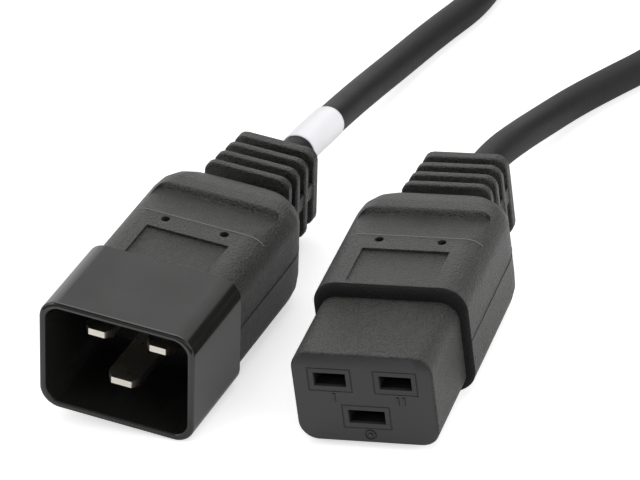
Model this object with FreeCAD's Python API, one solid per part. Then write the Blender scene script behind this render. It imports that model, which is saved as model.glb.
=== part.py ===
import FreeCAD, Part
import math
import os

# A 16 A appliance lead: a C19 line connector, a round flexible cord and, at its
# far end, the C20 plug that the connector mates with.
# Millimetres. +Z is up, the connector lies flat on Z = 0 with its mating face
# towards -Y and its cord leaving along +Y. The origin is under the middle of
# the connector's outline.

V = FreeCAD.Vector

# ---------------------------------------------------------------- mating parts
nose_width = 28.0            # insert of the connector, across X
nose_height = 19.8
nose_length = 20.0
nose_corner = 3.8
nose_root = 4.0              # nose's reach into the body
face_edge = 0.4              # small bevel round the mating face
mating_gap = 0.95            # play between the insert and the plug's shroud
side_pole_x = 6.5            # line and neutral, left and right of the middle
side_pole_z = 4.0            # line and neutral, above the insert's middle
earth_pole_z = -4.0
side_pin_width = 5.8
earth_pin_width = 6.7
pin_thickness = 2.0
slot_play_x = 0.3            # each side of a pin in its slot
slot_play_z = 0.45
tower_wall = 0.9             # frame of the contact carrier round each slot
tower_groove = 0.3           # fine groove round each frame, width
tower_groove_depth = 0.35

# ---------------------------------------------------------------- overmoulds
body_width = 31.0
body_height = 23.4
body_corner = 5.0
body_front_round = 1.6       # front rim of the connector's body
plug_front_round = 0.6       # front rim of the plug's body, behind its shroud
rim_slope_share = 0.63       # middle flat of a rim's round, as a share of its radius
rim_ease_share = 0.25        # and the narrow flats on its two sides
body_lift = 11.1             # insert's middle above the connector's underside
panel_half_width = 8.8       # shallow blank field on the top
panel_length = 12.0
panel_depth = 0.55           # at its cord end
panel_front_depth = 0.15     # of the connector's field, at its other end
plug_panel_front_depth = 0.4 # the plug's field runs out under the shroud's edge
vent_spread = 6.35           # two blind mould holes behind the field
vent_diameter = 1.8
vent_depth = 1.4
vent_to_grip = 1.9           # hole centres to the start of the finger grip
panel_to_vent = 3.3
grip_length = 9.5            # sloping floor of the finger grip
grip_depth = 1.3
grip_step = 0.8              # length of the steep end of the grip
grip_half_width = 13.3
grip_corner = 2.4            # plan corner at the steep end of the grip
grip_foot_round = 0.5
grip_crest_bevel = 0.25
flange_length = 8.2          # steep end of the grip to the cord end of the body
shoulder_drop = 1.6          # fall of the flange towards its end
shoulder_sweep = 8.0         # length over which the sides draw in to the cord end
shoulder_inset = 3.4         # and how far they draw in
shoulder_softening = 1.5     # growth of the corners' radius on the way
shoulder_steps = 4
connector_grip_start = 39.5  # from the mating face
plug_grip_start = 37.8       # from the shroud's rim

# ---------------------------------------------------------------- strain relief
rib_count = 4
first_rib_gap = 4.2          # body to the first rib
rib_thickness = 1.8
rib_gap = 2.7
end_rib_thickness = 2.4
first_rib_width = 18.6
first_rib_height = 20.8
rib_width_step = 0.3
rib_height_step = 1.0
rib_corner = 2.4
rib_corner_flats = 4
rib_edge = 0.3
stem_width = 11.4            # square core of the strain relief
stem_bevel = 2.0
stem_root = 3.0              # stem's and webs' reach into the body
web_thickness = 3.2          # side webs that tie the ribs together
web_inset = 0.2
boot_drop = 0.3              # cord axis below the insert's axis

# ---------------------------------------------------------------- plug
shroud_wall = 1.5
shroud_corner = 4.2
shroud_inner_ease = 0.4      # inner corner, larger than an even wall gives
shroud_length = 21.7         # outside, rim to overmould
cavity_depth = 20.5
shroud_rim_round = 0.6       # outside
shroud_rim_bevel = 0.35      # inside
neck_width = 26.0            # root of the shroud, held by the overmould
neck_height = 18.0
neck_length = 4.0
bridge_width = 22.0          # pin holder
bridge_height = 15.0
bridge_flange_width = 25.0
bridge_flange_height = 17.0
side_pin_setback = 5.0       # pin tips behind the rim
earth_pin_setback = 2.5      # the earth pin is longer and makes first
pin_tip_length = 1.6
pin_tip_narrowing = 1.2      # each side
pin_tip_thinning = 0.3
pin_tail_width = 3.0
pin_shoulder_depth = 3.0     # wide bar's reach into the pin holder
plug_body_width = 31.2
plug_body_height = 23.6

# ---------------------------------------------------------------- inner parts
carrier_width = 24.0
carrier_height = 15.4
carrier_front = 2.0          # front wall of the insert over the carrier
carrier_length = 28.0
carrier_skin = 1.6           # carrier's own wall in front of each contact
chamber_height = 4.4
contact_side_play = 0.35
contact_seat_play = 0.3
leaf_thickness = 0.45
leaf_pinch = 0.85            # half opening of the springs at their throat
leaf_mouth = 1.35            # half opening of the springs at their lips
leaf_lip_length = 2.6        # lips to throat
contact_start = 1.4          # behind the carrier's own front wall
contact_spring_length = 14.0
contact_block_length = 2.5
contact_neck_width = 3.0
contact_neck_thickness = 0.8
crimp_width = 2.9            # square barrel
crimp_length = 5.5
crimp_web = 1.0
pocket_width = 22.0          # room for the cores behind the carrier
pocket_height = 14.0
pocket_length = 20.0
strand_radius = 0.7
strand_play = 0.06
strand_grip = 3.0            # bare strands inside the crimp
strand_show = 3.4            # bare strands between crimp and insulation
core_radius = 1.15
core_sides = 12              # flats that stand for a round core
core_spread = 1.4            # cores round the middle of the cord
core_lead = 2.2              # straight behind the crimp
core_tail = 3.0              # straight before the cord's end
bore_play = 0.1

# ---------------------------------------------------------------- cord
cord_diameter = 6.8
cord_sides = 12              # flats that stand for the round cord
label_length = 16.5
label_start = 10.4           # from the plug's last rib, along the cord
label_thickness = 0.2
label_play = 0.05
arc_reach = 0.45             # an arc's share of the shorter run beside it
boot_lead = 6.6              # first run behind the connector
plug_lead = 8.0              # and behind the plug
coil_lead_in = 14.0          # last run before the coil
coil_lead_out = 13.0         # and the first run behind it
coil_x = 14.0                # spare length, tied in a round coil
coil_y = 183.4
coil_inner_turn = 32.8       # radius of the middle of the inner turns
coil_layers = 2
coil_rings = 2
coil_entry_angle = -20.0     # in the upper layer
coil_exit_angle = 185.0      # in the lower layer
coil_tail = 24.0             # straight lead into and out of the turns
tie_width = 9.0
tie_thickness = 0.6
tie_play = 0.3
tie_edge = 0.35              # bevel along the strap's outer corners
tie_angles = (60.0, 240.0)

# Where the plug lies: rolled a little on the lower edge of its shroud.
plug_x = -49.5
plug_y = -39.45
plug_yaw = -7.4
plug_roll = 8.7

# ---------------------------------------------------------------- derived
cord_radius = cord_diameter / 2
shroud_width = nose_width + 2 * mating_gap + 2 * shroud_wall
shroud_height = nose_height + 2 * mating_gap + 2 * shroud_wall
carrier_end = carrier_front + carrier_length
pocket_end = carrier_end + pocket_length
bare_start = carrier_end + crimp_length - strand_grip
core_start = carrier_end + crimp_length + strand_show


def poles():
    """Name, X, Z and pin width of the three poles, seen from the mating face."""
    return (("line", -side_pole_x, side_pole_z, side_pin_width),
            ("neutral", side_pole_x, side_pole_z, side_pin_width),
            ("earth", 0.0, earth_pole_z, earth_pin_width))


# ---------------------------------------------------------------- basic forms
def box(x0, x1, y0, y1, z0, z1):
    return Part.makeBox(x1 - x0, y1 - y0, z1 - z0, V(x0, y0, z0))


def bar(width, height, y0, y1, x=0.0, z=0.0):
    """Square-edged bar along Y, centred on (x, z)."""
    return box(x - width / 2, x + width / 2, y0, y1, z - height / 2, z + height / 2)


def rod(radius, y0, y1, x=0.0, z=0.0):
    return Part.makeCylinder(radius, y1 - y0, V(x, y0, z), V(0, 1, 0))


def rounded_outline(width, height, corner, y, x=0.0, z=0.0):
    """Closed wire in the plane Y = y: a rectangle with round corners."""
    a = width / 2 - corner
    b = height / 2 - corner
    s = corner * math.sqrt(0.5)
    edges = []
    for sx, sz in ((1, 1), (-1, 1), (-1, -1), (1, -1)):
        side = V(x + sx * (a + corner), y, z + sz * b)
        mid = V(x + sx * (a + s), y, z + sz * (b + s))
        top = V(x + sx * a, y, z + sz * (b + corner))
        ends = (side, top) if sx * sz > 0 else (top, side)
        edges.append((ends[0], mid, ends[1]))
    parts = []
    for i, (p, m, q) in enumerate(edges):
        parts.append(Part.Arc(p, m, q).toShape())
        nxt = edges[(i + 1) % 4][0]
        parts.append(Part.makeLine(q, nxt))
    return Part.Wire(parts)


def rounded_bar(width, height, corner, y0, y1, x=0.0, z=0.0):
    face = Part.Face(rounded_outline(width, height, corner, y0, x, z))
    return face.extrude(V(0, y1 - y0, 0))


def rim_edges(shape, y):
    """Edges of a shape that lie wholly in the plane Y = y."""
    found = []
    for e in shape.Edges:
        if abs(e.BoundBox.YMin - y) < 1e-4 and abs(e.BoundBox.YMax - y) < 1e-4:
            found.append(e)
    return found


def soft_rim(shape, y, radius):
    """Three flats that stand for a round of that radius along the rim at Y = y."""
    cut = radius * rim_slope_share
    shape = shape.makeChamfer(cut, rim_edges(shape, y))
    both = rim_edges(shape, y) + rim_edges(shape, y + cut)
    return shape.makeChamfer(radius * rim_ease_share, both)


def cross_edges(shape, y, z):
    """Edges parallel to X that pass through (y, z)."""
    found = []
    for e in shape.Edges:
        b = e.BoundBox
        flat = abs(b.YMax - b.YMin) < 1e-4 and abs(b.ZMax - b.ZMin) < 1e-4
        if flat and abs(b.YMin - y) < 1e-3 and abs(b.ZMin - z) < 1e-3:
            found.append(e)
    return found


def long_edges(shape):
    """Edges parallel to Y."""
    found = []
    for e in shape.Edges:
        b = e.BoundBox
        if b.YLength > 1e-3 and b.XLength < 1e-3 and b.ZLength < 1e-3:
            found.append(e)
    return found


def side_sheet(points, x0, x1):
    """Polygon given by (y, z) corners, drawn from x0 to x1."""
    loop = [V(x0, y, z) for y, z in points]
    face = Part.Face(Part.makePolygon(loop + loop[:1]))
    return face.extrude(V(x1 - x0, 0, 0))


# ---------------------------------------------------------------- overmould
def boot_end(grip_start):
    """Y of the strain relief's free end."""
    y = body_rear(grip_start) + first_rib_gap
    y += (rib_count - 1) * (rib_thickness + rib_gap)
    return y + end_rib_thickness


def body_rear(grip_start):
    return grip_start + grip_length + grip_step + flange_length


def shoulder(start, width, height, middle):
    """Cord end of the grip: rounded sections that draw in along a quarter ellipse."""
    wires = []
    for i in range(shoulder_steps + 1):
        a = math.radians(90 * i / shoulder_steps)
        y = start + shoulder_sweep * math.sin(a)
        inset = shoulder_inset * (1 - math.cos(a))
        drop = shoulder_drop * math.sin(a) ** 3
        corner = body_corner + shoulder_softening * (1 - math.cos(a))
        wires.append(rounded_outline(width - 2 * inset, height - 2 * drop, corner,
                                     y, 0.0, middle))
    return Part.makeLoft(wires, True, True)


def grip_dish(grip_start, top, side):
    """Cutter for the finger grip of the upper (side 1) or lower (side -1) face.

    top is the height of that face, measured away from the insert's axis.
    """
    foot = grip_start + grip_length
    crest = foot + grip_step
    bevel = grip_crest_bevel
    profile = [(grip_start, 0.0), (foot, -grip_depth), (crest - bevel, -bevel)]
    profile += [(crest + bevel, 0.0), (crest + bevel, 1.0), (grip_start, 1.0)]
    profile = [(y, side * (top + z)) for y, z in profile]
    w = grip_half_width
    cutter = side_sheet(profile, -w, w)
    feet = cross_edges(cutter, foot, side * (top - grip_depth))
    cutter = cutter.makeFillet(grip_foot_round, feet)
    room = box(-w, w, grip_start - 1, crest + bevel, -2 * top, 2 * top)
    ends = [e for e in room.Edges if e.BoundBox.YMin > crest and e.BoundBox.ZLength > top]
    return cutter.common(room.makeFillet(grip_corner, ends))


def grip_body(front, front_round, grip_start, width, height, middle):
    """The hand grip: a rounded bar with a finger dish on two faces and a drawn-in end.

    middle is the height of the bar's centre above the insert's axis.
    """
    start = body_rear(grip_start) - shoulder_sweep
    grip = rounded_bar(width, height, body_corner, front, start, 0.0, middle)
    grip = soft_rim(grip, front, front_round)
    grip = grip.fuse(shoulder(start, width, height, middle))
    grip = grip.cut(grip_dish(grip_start, height / 2 + middle, 1))
    return grip.cut(grip_dish(grip_start, height / 2 - middle, -1))


def rib_plate(width, height, y, thick, z):
    """Plate across Y whose round corners are stood for by flats."""
    corners = []
    for sx, sz, start in ((1, 1, 0), (-1, 1, 90), (-1, -1, 180), (1, -1, 270)):
        middle = V(sx * (width / 2 - rib_corner), y, z + sz * (height / 2 - rib_corner))
        for i in range(rib_corner_flats + 1):
            a = math.radians(start + 90 * i / rib_corner_flats)
            corners.append(middle + V(math.cos(a), 0, math.sin(a)) * rib_corner)
    face = Part.Face(Part.makePolygon(corners + corners[:1]))
    return face.extrude(V(0, thick, 0))


def strain_relief(grip_start, middle):
    """Slotted boot: bevelled square stem, rectangular ribs and a web along each side."""
    rear = body_rear(grip_start)
    end = boot_end(grip_start)
    axis = -boot_drop
    start = rear - stem_root
    boot = bar(stem_width, stem_width, start, end, 0.0, axis)
    boot = boot.makeChamfer(stem_bevel, long_edges(boot))
    y = rear + first_rib_gap
    for i in range(rib_count):
        last = i == rib_count - 1
        thick = end_rib_thickness if last else rib_thickness
        rib = rib_plate(first_rib_width - i * rib_width_step,
                        first_rib_height - i * rib_height_step, y, thick, axis)
        rib = rib.makeChamfer(rib_edge, rim_edges(rib, y) + rim_edges(rib, y + thick))
        boot = boot.fuse(rib)
        y += thick + rib_gap
    a = first_rib_width / 2 - web_inset
    b = a - (rib_count - 1) * rib_width_step / 2
    y1 = end - end_rib_thickness / 2
    z = middle - web_thickness / 2
    corners = [V(-a, start, z), V(a, start, z), V(b, y1, z), V(-b, y1, z)]
    corners.append(corners[0])
    web = Part.Face(Part.makePolygon(corners)).extrude(V(0, 0, web_thickness))
    return boot.fuse(web)


def top_details(grip_start, top, front_depth):
    """Cutters for the blank field and the two blind holes on the upper side."""
    vent = grip_start - vent_to_grip
    back = vent - panel_to_vent
    front = back - panel_length
    wedge = [(front, top - front_depth), (back, top - panel_depth)]
    wedge += [(back, top + 1), (front, top + 1)]
    field = side_sheet(wedge, -panel_half_width, panel_half_width)
    cutters = [field]
    for sx in (-1, 1):
        cutters.append(Part.makeCylinder(vent_diameter / 2, vent_depth + 1,
                                         V(sx * vent_spread, vent, top - vent_depth)))
    return cutters


def inner_room(grip_start):
    """Pocket for the cores and bore for the cord, as cutters."""
    end = boot_end(grip_start)
    pocket = bar(pocket_width, pocket_height, carrier_end, pocket_end)
    bore = rod(cord_radius + bore_play, pocket_end, end + 1, 0, -boot_drop)
    return [pocket, bore]


# ---------------------------------------------------------------- connector
def slot_size(pin_width):
    return pin_width + 2 * slot_play_x, pin_thickness + 2 * slot_play_z


def tower_size(pin_width):
    w, h = slot_size(pin_width)
    return w + 2 * tower_wall, h + 2 * tower_wall


def connector_housing():
    middle = body_height / 2 - body_lift
    nose = rounded_bar(nose_width, nose_height, nose_corner, 0, nose_length + nose_root)
    nose = nose.makeChamfer(face_edge, rim_edges(nose, 0))
    body = grip_body(nose_length, body_front_round, connector_grip_start, body_width,
                     body_height, middle)
    shell = nose.fuse(body).fuse(strain_relief(connector_grip_start, middle))
    cutters = top_details(connector_grip_start, middle + body_height / 2, panel_front_depth)
    cutters += inner_room(connector_grip_start)
    cutters.append(bar(carrier_width, carrier_height, carrier_front, carrier_end))
    for name, x, z, pin in poles():
        w, h = tower_size(pin)
        cutters.append(bar(w, h, -1, carrier_front + 1, x, z))
        g = 2 * tower_groove
        cutters.append(bar(w + g, h + g, -1, tower_groove_depth, x, z))
    for c in cutters:
        shell = shell.cut(c)
    return shell.removeSplitter()


def chamber(x, z, pin):
    w = pin + 2 * slot_play_x
    return bar(w, chamber_height, carrier_front + carrier_skin, carrier_end + 1, x, z)


def connector_core():
    block = bar(carrier_width, carrier_height, carrier_front, carrier_end)
    for name, x, z, pin in poles():
        w, h = tower_size(pin)
        block = block.fuse(bar(w, h, 0, carrier_front, x, z))
    for name, x, z, pin in poles():
        w, h = slot_size(pin)
        block = block.cut(bar(w, h, -1, carrier_front + carrier_skin + 1, x, z))
        block = block.cut(chamber(x, z, pin))
    return block.removeSplitter()


def crimp(x, z):
    """Crimp barrel at the tail of a contact or pin, closed at its front."""
    y = carrier_end
    hole = 2 * (strand_radius + strand_play)
    barrel = bar(crimp_width, crimp_width, y, y + crimp_length, x, z)
    return barrel.cut(bar(hole, hole, y + crimp_web, y + crimp_length + 1, x, z))


def contact(x, z, pin):
    """Folded receptacle: two sprung leaves, a root block, a neck and a crimp."""
    width = pin + 2 * slot_play_x - 2 * contact_side_play
    y0 = carrier_front + carrier_skin + contact_start
    y1 = y0 + contact_spring_length
    y2 = y1 + contact_block_length
    t = leaf_thickness
    outer = chamber_height / 2 - contact_seat_play
    throat = y0 + leaf_lip_length
    parts = [bar(width, 2 * outer, y1, y2, x, z)]
    for s in (1, -1):
        leaf = [(y0, s * leaf_mouth), (throat, s * leaf_pinch)]
        leaf += [(y1, s * (outer - t)), (y1, s * outer)]
        leaf += [(throat, s * (leaf_pinch + t)), (y0, s * (leaf_mouth + t))]
        leaf = [(y, z + h) for y, h in leaf]
        parts.append(side_sheet(leaf, x - width / 2, x + width / 2))
    parts.append(bar(contact_neck_width, contact_neck_thickness, y2,
                     carrier_end + crimp_web / 2, x, z))
    parts.append(crimp(x, z))
    shape = parts[0]
    for p in parts[1:]:
        shape = shape.fuse(p)
    return shape.removeSplitter()


# ---------------------------------------------------------------- plug
def plug_shroud():
    cavity_w = nose_width + 2 * mating_gap
    cavity_h = nose_height + 2 * mating_gap
    inner_corner = shroud_corner - shroud_wall + shroud_inner_ease
    shell = rounded_bar(shroud_width, shroud_height, shroud_corner, 0, shroud_length)
    shell = soft_rim(shell, 0, shroud_rim_round)
    cavity = rounded_bar(cavity_w, cavity_h, inner_corner, -1, cavity_depth)
    shell = shell.cut(cavity)
    lip = []
    for e in rim_edges(shell, 0):
        b = e.BoundBox
        if max(abs(b.XMin), abs(b.XMax)) < cavity_w / 2 + 0.01:
            if max(abs(b.ZMin), abs(b.ZMax)) < cavity_h / 2 + 0.01:
                lip.append(e)
    shell = shell.makeChamfer(shroud_rim_bevel, lip)
    neck = bar(neck_width, neck_height, shroud_length, shroud_length + neck_length)
    shell = shell.fuse(neck)
    seat = bar(bridge_width, bridge_height, cavity_depth - 1,
               shroud_length + neck_length + 1)
    return shell.cut(seat).removeSplitter()


def plug_bridge():
    step = shroud_length + neck_length
    block = bar(bridge_width, bridge_height, cavity_depth, step)
    flange = bar(bridge_flange_width, bridge_flange_height, step, carrier_end)
    block = block.fuse(flange)
    for name, x, z, pin in poles():
        shoulder = cavity_depth + pin_shoulder_depth
        block = block.cut(bar(pin, pin_thickness, cavity_depth - 1, shoulder, x, z))
        block = block.cut(bar(pin_tail_width, pin_thickness, shoulder, carrier_end + 1,
                              x, z))
    return block.removeSplitter()


def plug_pin(x, z, pin, setback):
    """Flat pin with a tapered tip, a narrower tail and a crimp."""
    y0 = setback
    y1 = setback + pin_tip_length
    y2 = cavity_depth + pin_shoulder_depth
    a = pin / 2
    b = pin_thickness / 2
    t = pin_tail_width / 2
    half = [(y0, a - pin_tip_narrowing), (y1, a), (y2, a), (y2, t), (carrier_end, t)]
    outline = [V(x + w, y, z - b) for y, w in half]
    outline += [V(x - w, y, z - b) for y, w in reversed(half)]
    plan = Part.Face(Part.makePolygon(outline + outline[:1]))
    plan = plan.extrude(V(0, 0, pin_thickness))
    side = [(y0, z - b + pin_tip_thinning), (y1, z - b), (carrier_end, z - b)]
    side += [(carrier_end, z + b), (y1, z + b), (y0, z + b - pin_tip_thinning)]
    shape = plan.common(side_sheet(side, x - a, x + a))
    neck = bar(pin_tail_width / 2, pin_thickness, carrier_end - 1,
               carrier_end + crimp_web / 2, x, z)
    return shape.fuse(neck).fuse(crimp(x, z)).removeSplitter()


def plug_housing():
    body = grip_body(shroud_length, plug_front_round, plug_grip_start, plug_body_width,
                     plug_body_height, 0.0)
    shell = body.fuse(strain_relief(plug_grip_start, 0.0))
    cutters = top_details(plug_grip_start, plug_body_height / 2, plug_panel_front_depth)
    cutters += inner_room(plug_grip_start)
    step = shroud_length + neck_length
    cutters.append(bar(neck_width, neck_height, shroud_length - 1, step))
    cutters.append(bar(bridge_flange_width, bridge_flange_height, step, carrier_end))
    for c in cutters:
        shell = shell.cut(c)
    return shell.removeSplitter()


# ---------------------------------------------------------------- cord
def route_edges(points):
    """Straight runs joined by tangent arcs, as a list of edges."""
    edges = []
    radii = []
    here = points[0]
    for i in range(1, len(points) - 1):
        p, q, r = points[i - 1], points[i], points[i + 1]
        u = (q - p).normalize()
        w = (r - q).normalize()
        turn = u.getAngle(w)
        reach = arc_reach * min(p.distanceToPoint(q), q.distanceToPoint(r))
        radius = reach / math.tan(turn / 2)
        radii.append(radius)
        a = q - u * reach
        b = q + w * reach
        bisector = (w - u).normalize()
        centre = q + bisector * (radius / math.cos(turn / 2))
        middle = centre - bisector * radius
        edges.append(Part.makeLine(here, a))
        edges.append(Part.Arc(a, middle, b).toShape())
        here = b
    edges.append(Part.makeLine(here, points[-1]))
    return edges, radii


def round_section(radius, sides, centre, heading):
    """Many-sided face square to heading, its corners on a circle of that radius."""
    across = heading.cross(V(0, 0, 1)).normalize()
    up = across.cross(heading).normalize()
    corners = []
    for i in range(sides):
        a = 2 * math.pi * (i + 0.5) / sides
        corners.append(centre + across * (radius * math.cos(a)) + up * (radius * math.sin(a)))
    return Part.Face(Part.makePolygon(corners + corners[:1]))


def carry(face, edge, length):
    """Sweep a section along the start of an edge; the solid and the section at its end."""
    start = face.CenterOfMass
    along = face.normalAt(0, 0)
    moved = face.copy()
    if isinstance(edge.Curve, Part.Line):
        step = edge.tangentAt(edge.FirstParameter) * length
        moved.translate(step)
        return face.extrude(step), moved
    centre = edge.Curve.Center
    if along.dot(edge.tangentAt(edge.FirstParameter)) < 0:
        along = along * -1
    axis = (start - centre).cross(along)
    angle = math.degrees(length / edge.Curve.Radius)
    moved.rotate(centre, axis, angle)
    return face.revolve(centre, axis, angle), moved


def pipe(edges, radius, sides, start=0.0, length=math.inf):
    """Solid along a route, or along the stretch of it that begins at start."""
    first = edges[0]
    face = round_section(radius, sides, first.valueAt(first.FirstParameter),
                         first.tangentAt(first.FirstParameter))
    pieces = []
    at = 0.0
    for e in edges:
        stops = [at, at + e.Length]
        stops += [s for s in (start, start + length) if at < s < at + e.Length]
        stops.sort()
        for a, b in zip(stops, stops[1:]):
            if b - a < 1e-6:
                continue
            solid, face = carry(face, e, b - a)
            if a > start - 1e-6 and b < start + length + 1e-6:
                pieces.append(solid)
        at += e.Length
    return pieces[0].fuse(pieces[1:])


def insulated_core(x, z, k):
    """One core from its crimp to its place in the cord's end: three straight runs."""
    turn = math.radians(120 * k - 90)
    ex = core_spread * math.cos(turn)
    ez = core_spread * math.sin(turn) - boot_drop
    stations = [V(x, core_start, z), V(x, core_start + core_lead, z),
                V(ex, pocket_end - core_tail, ez), V(ex, pocket_end, ez)]
    runs = []
    for a, b in zip(stations, stations[1:]):
        face = round_section(core_radius, core_sides, a, V(0, 1, 0))
        runs.append(face.extrude(b - a))
    return runs[0].fuse(runs[1:])


def inner_wiring(prefix):
    """Bare strands and insulated cores of one end, as (name, shape)."""
    made = []
    order = {"line": 2, "neutral": 1, "earth": 0}
    for name, x, z, pin in poles():
        face = round_section(strand_radius, core_sides, V(x, bare_start, z), V(0, 1, 0))
        strands = face.extrude(V(0, core_start - bare_start, 0))
        made.append((prefix + "_strands_" + name, strands))
        made.append((prefix + "_wire_" + name, insulated_core(x, z, order[name])))
    return made


def cord_end(end):
    """The cord inside the strain relief, from the cores' pocket to its free end."""
    face = round_section(cord_radius, cord_sides, V(0, pocket_end, -boot_drop), V(0, 1, 0))
    return face.extrude(V(0, end - pocket_end, 0))


# ---------------------------------------------------------------- placing
connector_length = boot_end(connector_grip_start)
plug_length = boot_end(plug_grip_start)
connector_move = V(0, -connector_length / 2, body_lift)
roll = math.radians(plug_roll)
plug_lift = (shroud_height / 2 - shroud_corner) * math.cos(roll)
plug_lift += (shroud_width / 2 - shroud_corner) * math.sin(roll) + shroud_corner
plug_turn = FreeCAD.Rotation(V(0, 0, 1), plug_yaw)
plug_turn = plug_turn.multiply(FreeCAD.Rotation(V(0, 1, 0), plug_roll))
plug_place = FreeCAD.Placement(V(plug_x, plug_y, plug_lift), plug_turn)


def at_connector(shape):
    shape.translate(connector_move)
    return shape


def at_plug(shape):
    shape.Placement = plug_place.multiply(shape.Placement)
    return shape


# Coil of the spare length, lying on its two ties.
pitch = cord_diameter
coil_outer_turn = coil_inner_turn + (coil_rings - 1) * pitch
coil_base = tie_thickness
coil_height = coil_layers * pitch


def coil_tangent(angle, layer):
    """Point on the outer turn and the direction in which the cord is wound."""
    a = math.radians(angle)
    z = coil_base + (layer + 0.5) * pitch
    point = V(coil_x + coil_outer_turn * math.cos(a),
              coil_y + coil_outer_turn * math.sin(a), z)
    return point, V(-math.sin(a), math.cos(a), 0)


entry_point, entry_heading = coil_tangent(coil_entry_angle, coil_layers - 1)
exit_point, exit_heading = coil_tangent(coil_exit_angle, 0)
entry_start = entry_point - entry_heading * coil_tail
exit_end = exit_point + exit_heading * coil_tail
cord_out = V(0, connector_length / 2, body_lift - boot_drop)
plug_out = plug_place.multVec(V(0, plug_length, -boot_drop))
plug_heading = plug_turn.multVec(V(0, 1, 0))
rest = cord_radius

connector_route = [
    cord_out,
    cord_out + V(0, boot_lead, 0),
    V(1.2, 55.0, 10.2),
    V(3.2, 66.0, 8.0),
    V(5.3, 77.5, 5.2),
    V(8.6, 88.0, rest + 0.2),
    V(14.6, 97.4, rest),
    V(22.2, 108.0, rest),
    V(30.8, 121.2, 6.6),
    entry_start - entry_heading * coil_lead_in,
    entry_start,
]

plug_route = [
    plug_out,
    plug_out + plug_heading * plug_lead,
    V(-37.7, 53.0, 12.9),
    V(-37.0, 65.5, 10.4),
    V(-35.9, 81.5, 7.2),
    V(-33.2, 99.8, 4.2),
    V(-28.9, 115.8, rest),
    V(-23.4, 129.6, rest),
    exit_end + exit_heading * coil_lead_out,
    exit_end,
]


def coil_layer(angle, away, level):
    """One layer of turns with a straight lead that leaves along away."""
    a = math.radians(angle)
    radial = V(math.cos(a), math.sin(a), 0)
    outer = coil_outer_turn + cord_radius
    base = V(coil_x, coil_y, coil_base + level * pitch)
    touch = base + radial * outer
    corner_out = touch + away * coil_tail
    corner_in = corner_out - radial * pitch
    reach = math.sqrt(outer ** 2 - (outer - pitch) ** 2)
    root = base + radial * (outer - pitch) + away * reach
    rim = Part.Arc(root, base - radial * outer, touch).toShape()
    lead = Part.makePolygon([touch, corner_out, corner_in, root])
    layer = Part.Face(Part.Wire([rim] + lead.Edges)).extrude(V(0, 0, pitch))
    inner = coil_inner_turn - cord_radius
    return layer.cut(Part.makeCylinder(inner, pitch, base))


def coil_solid():
    lower = coil_layer(coil_exit_angle, exit_heading, 0)
    upper = coil_layer(coil_entry_angle, -entry_heading, coil_layers - 1)
    return lower.fuse(upper).removeSplitter()


def coil_tie(angle):
    """Strap round the bundle of turns, standing on the surface."""
    inner = coil_inner_turn - cord_radius
    outer = coil_outer_turn + cord_radius
    t = tie_thickness
    sag = inner - math.sqrt(inner ** 2 - (tie_width / 2) ** 2)
    a = inner - sag - tie_play
    b = outer + tie_play
    strap = box(a - t, b + t, -tie_width / 2, tie_width / 2, 0, coil_base + coil_height + t)
    strap = strap.cut(box(a, b, -tie_width, tie_width, coil_base, coil_base + coil_height))
    corners = [e for e in strap.Edges if e.BoundBox.YLength > tie_width * 0.9]
    outer_corners = []
    for e in corners:
        x = e.BoundBox.XMin
        if abs(x - (a - t)) < 1e-3 or abs(x - (b + t)) < 1e-3:
            outer_corners.append(e)
    strap = strap.makeChamfer(tie_edge, outer_corners)
    strap.rotate(V(0, 0, 0), V(0, 0, 1), angle)
    strap.translate(V(coil_x, coil_y, 0))
    return strap


# ---------------------------------------------------------------- export
nodes = []
nodes.append(("connector_housing", at_connector(connector_housing())))
nodes.append(("connector_core", at_connector(connector_core())))
for name, x, z, pin in poles():
    nodes.append(("connector_contact_" + name, at_connector(contact(x, z, pin))))
for name, shape in inner_wiring("connector"):
    nodes.append((name, at_connector(shape)))
nodes.append(("connector_cord_end", at_connector(cord_end(connector_length))))

nodes.append(("plug_shroud", at_plug(plug_shroud())))
nodes.append(("plug_bridge", at_plug(plug_bridge())))
nodes.append(("plug_housing", at_plug(plug_housing())))
for name, x, z, pin in poles():
    back = earth_pin_setback if name == "earth" else side_pin_setback
    nodes.append(("plug_pin_" + name, at_plug(plug_pin(x, z, pin, back))))
for name, shape in inner_wiring("plug"):
    nodes.append((name, at_plug(shape)))
nodes.append(("plug_cord_end", at_plug(cord_end(plug_length))))

for name, route in (("cord_connector_side", connector_route), ("cord_plug_side", plug_route)):
    edges, radii = route_edges(route)
    tube = pipe(edges, cord_radius, cord_sides)
    length = sum(e.Length for e in edges)
    section = cord_sides / 2 * math.sin(2 * math.pi / cord_sides) * cord_radius ** 2
    print(name, "length", round(length, 1), "volume ratio", round(tube.Volume / section / length, 5),
          "radii", [round(r) for r in radii])
    nodes.append((name, tube))
    if name == "cord_plug_side":
        bore = cord_radius + label_play
        sleeve = pipe(edges, bore + label_thickness, cord_sides, label_start, label_length)
        sleeve = sleeve.cut(pipe(edges, bore, cord_sides, label_start, label_length))
        nodes.append(("cord_label", sleeve))
nodes.append(("cord_coil", coil_solid()))
for i, angle in enumerate(tie_angles):
    nodes.append(("coil_tie_" + "ab"[i], coil_tie(angle)))

os.makedirs("parts", exist_ok=True)
for name, shape in nodes:
    solids = shape.Solids
    if len(solids) != 1 or not shape.isValid():
        print("CHECK", name, len(solids), shape.isValid())
    shape = solids[0] if len(solids) == 1 else shape
    shape.exportStep("parts/" + name + ".step")
box_all = Part.makeCompound([s for n, s in nodes]).BoundBox
print(len(nodes), "pieces; box", [round(v, 2) for v in (box_all.XMin, box_all.XMax,
      box_all.YMin, box_all.YMax, box_all.ZMin, box_all.ZMax)])
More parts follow.
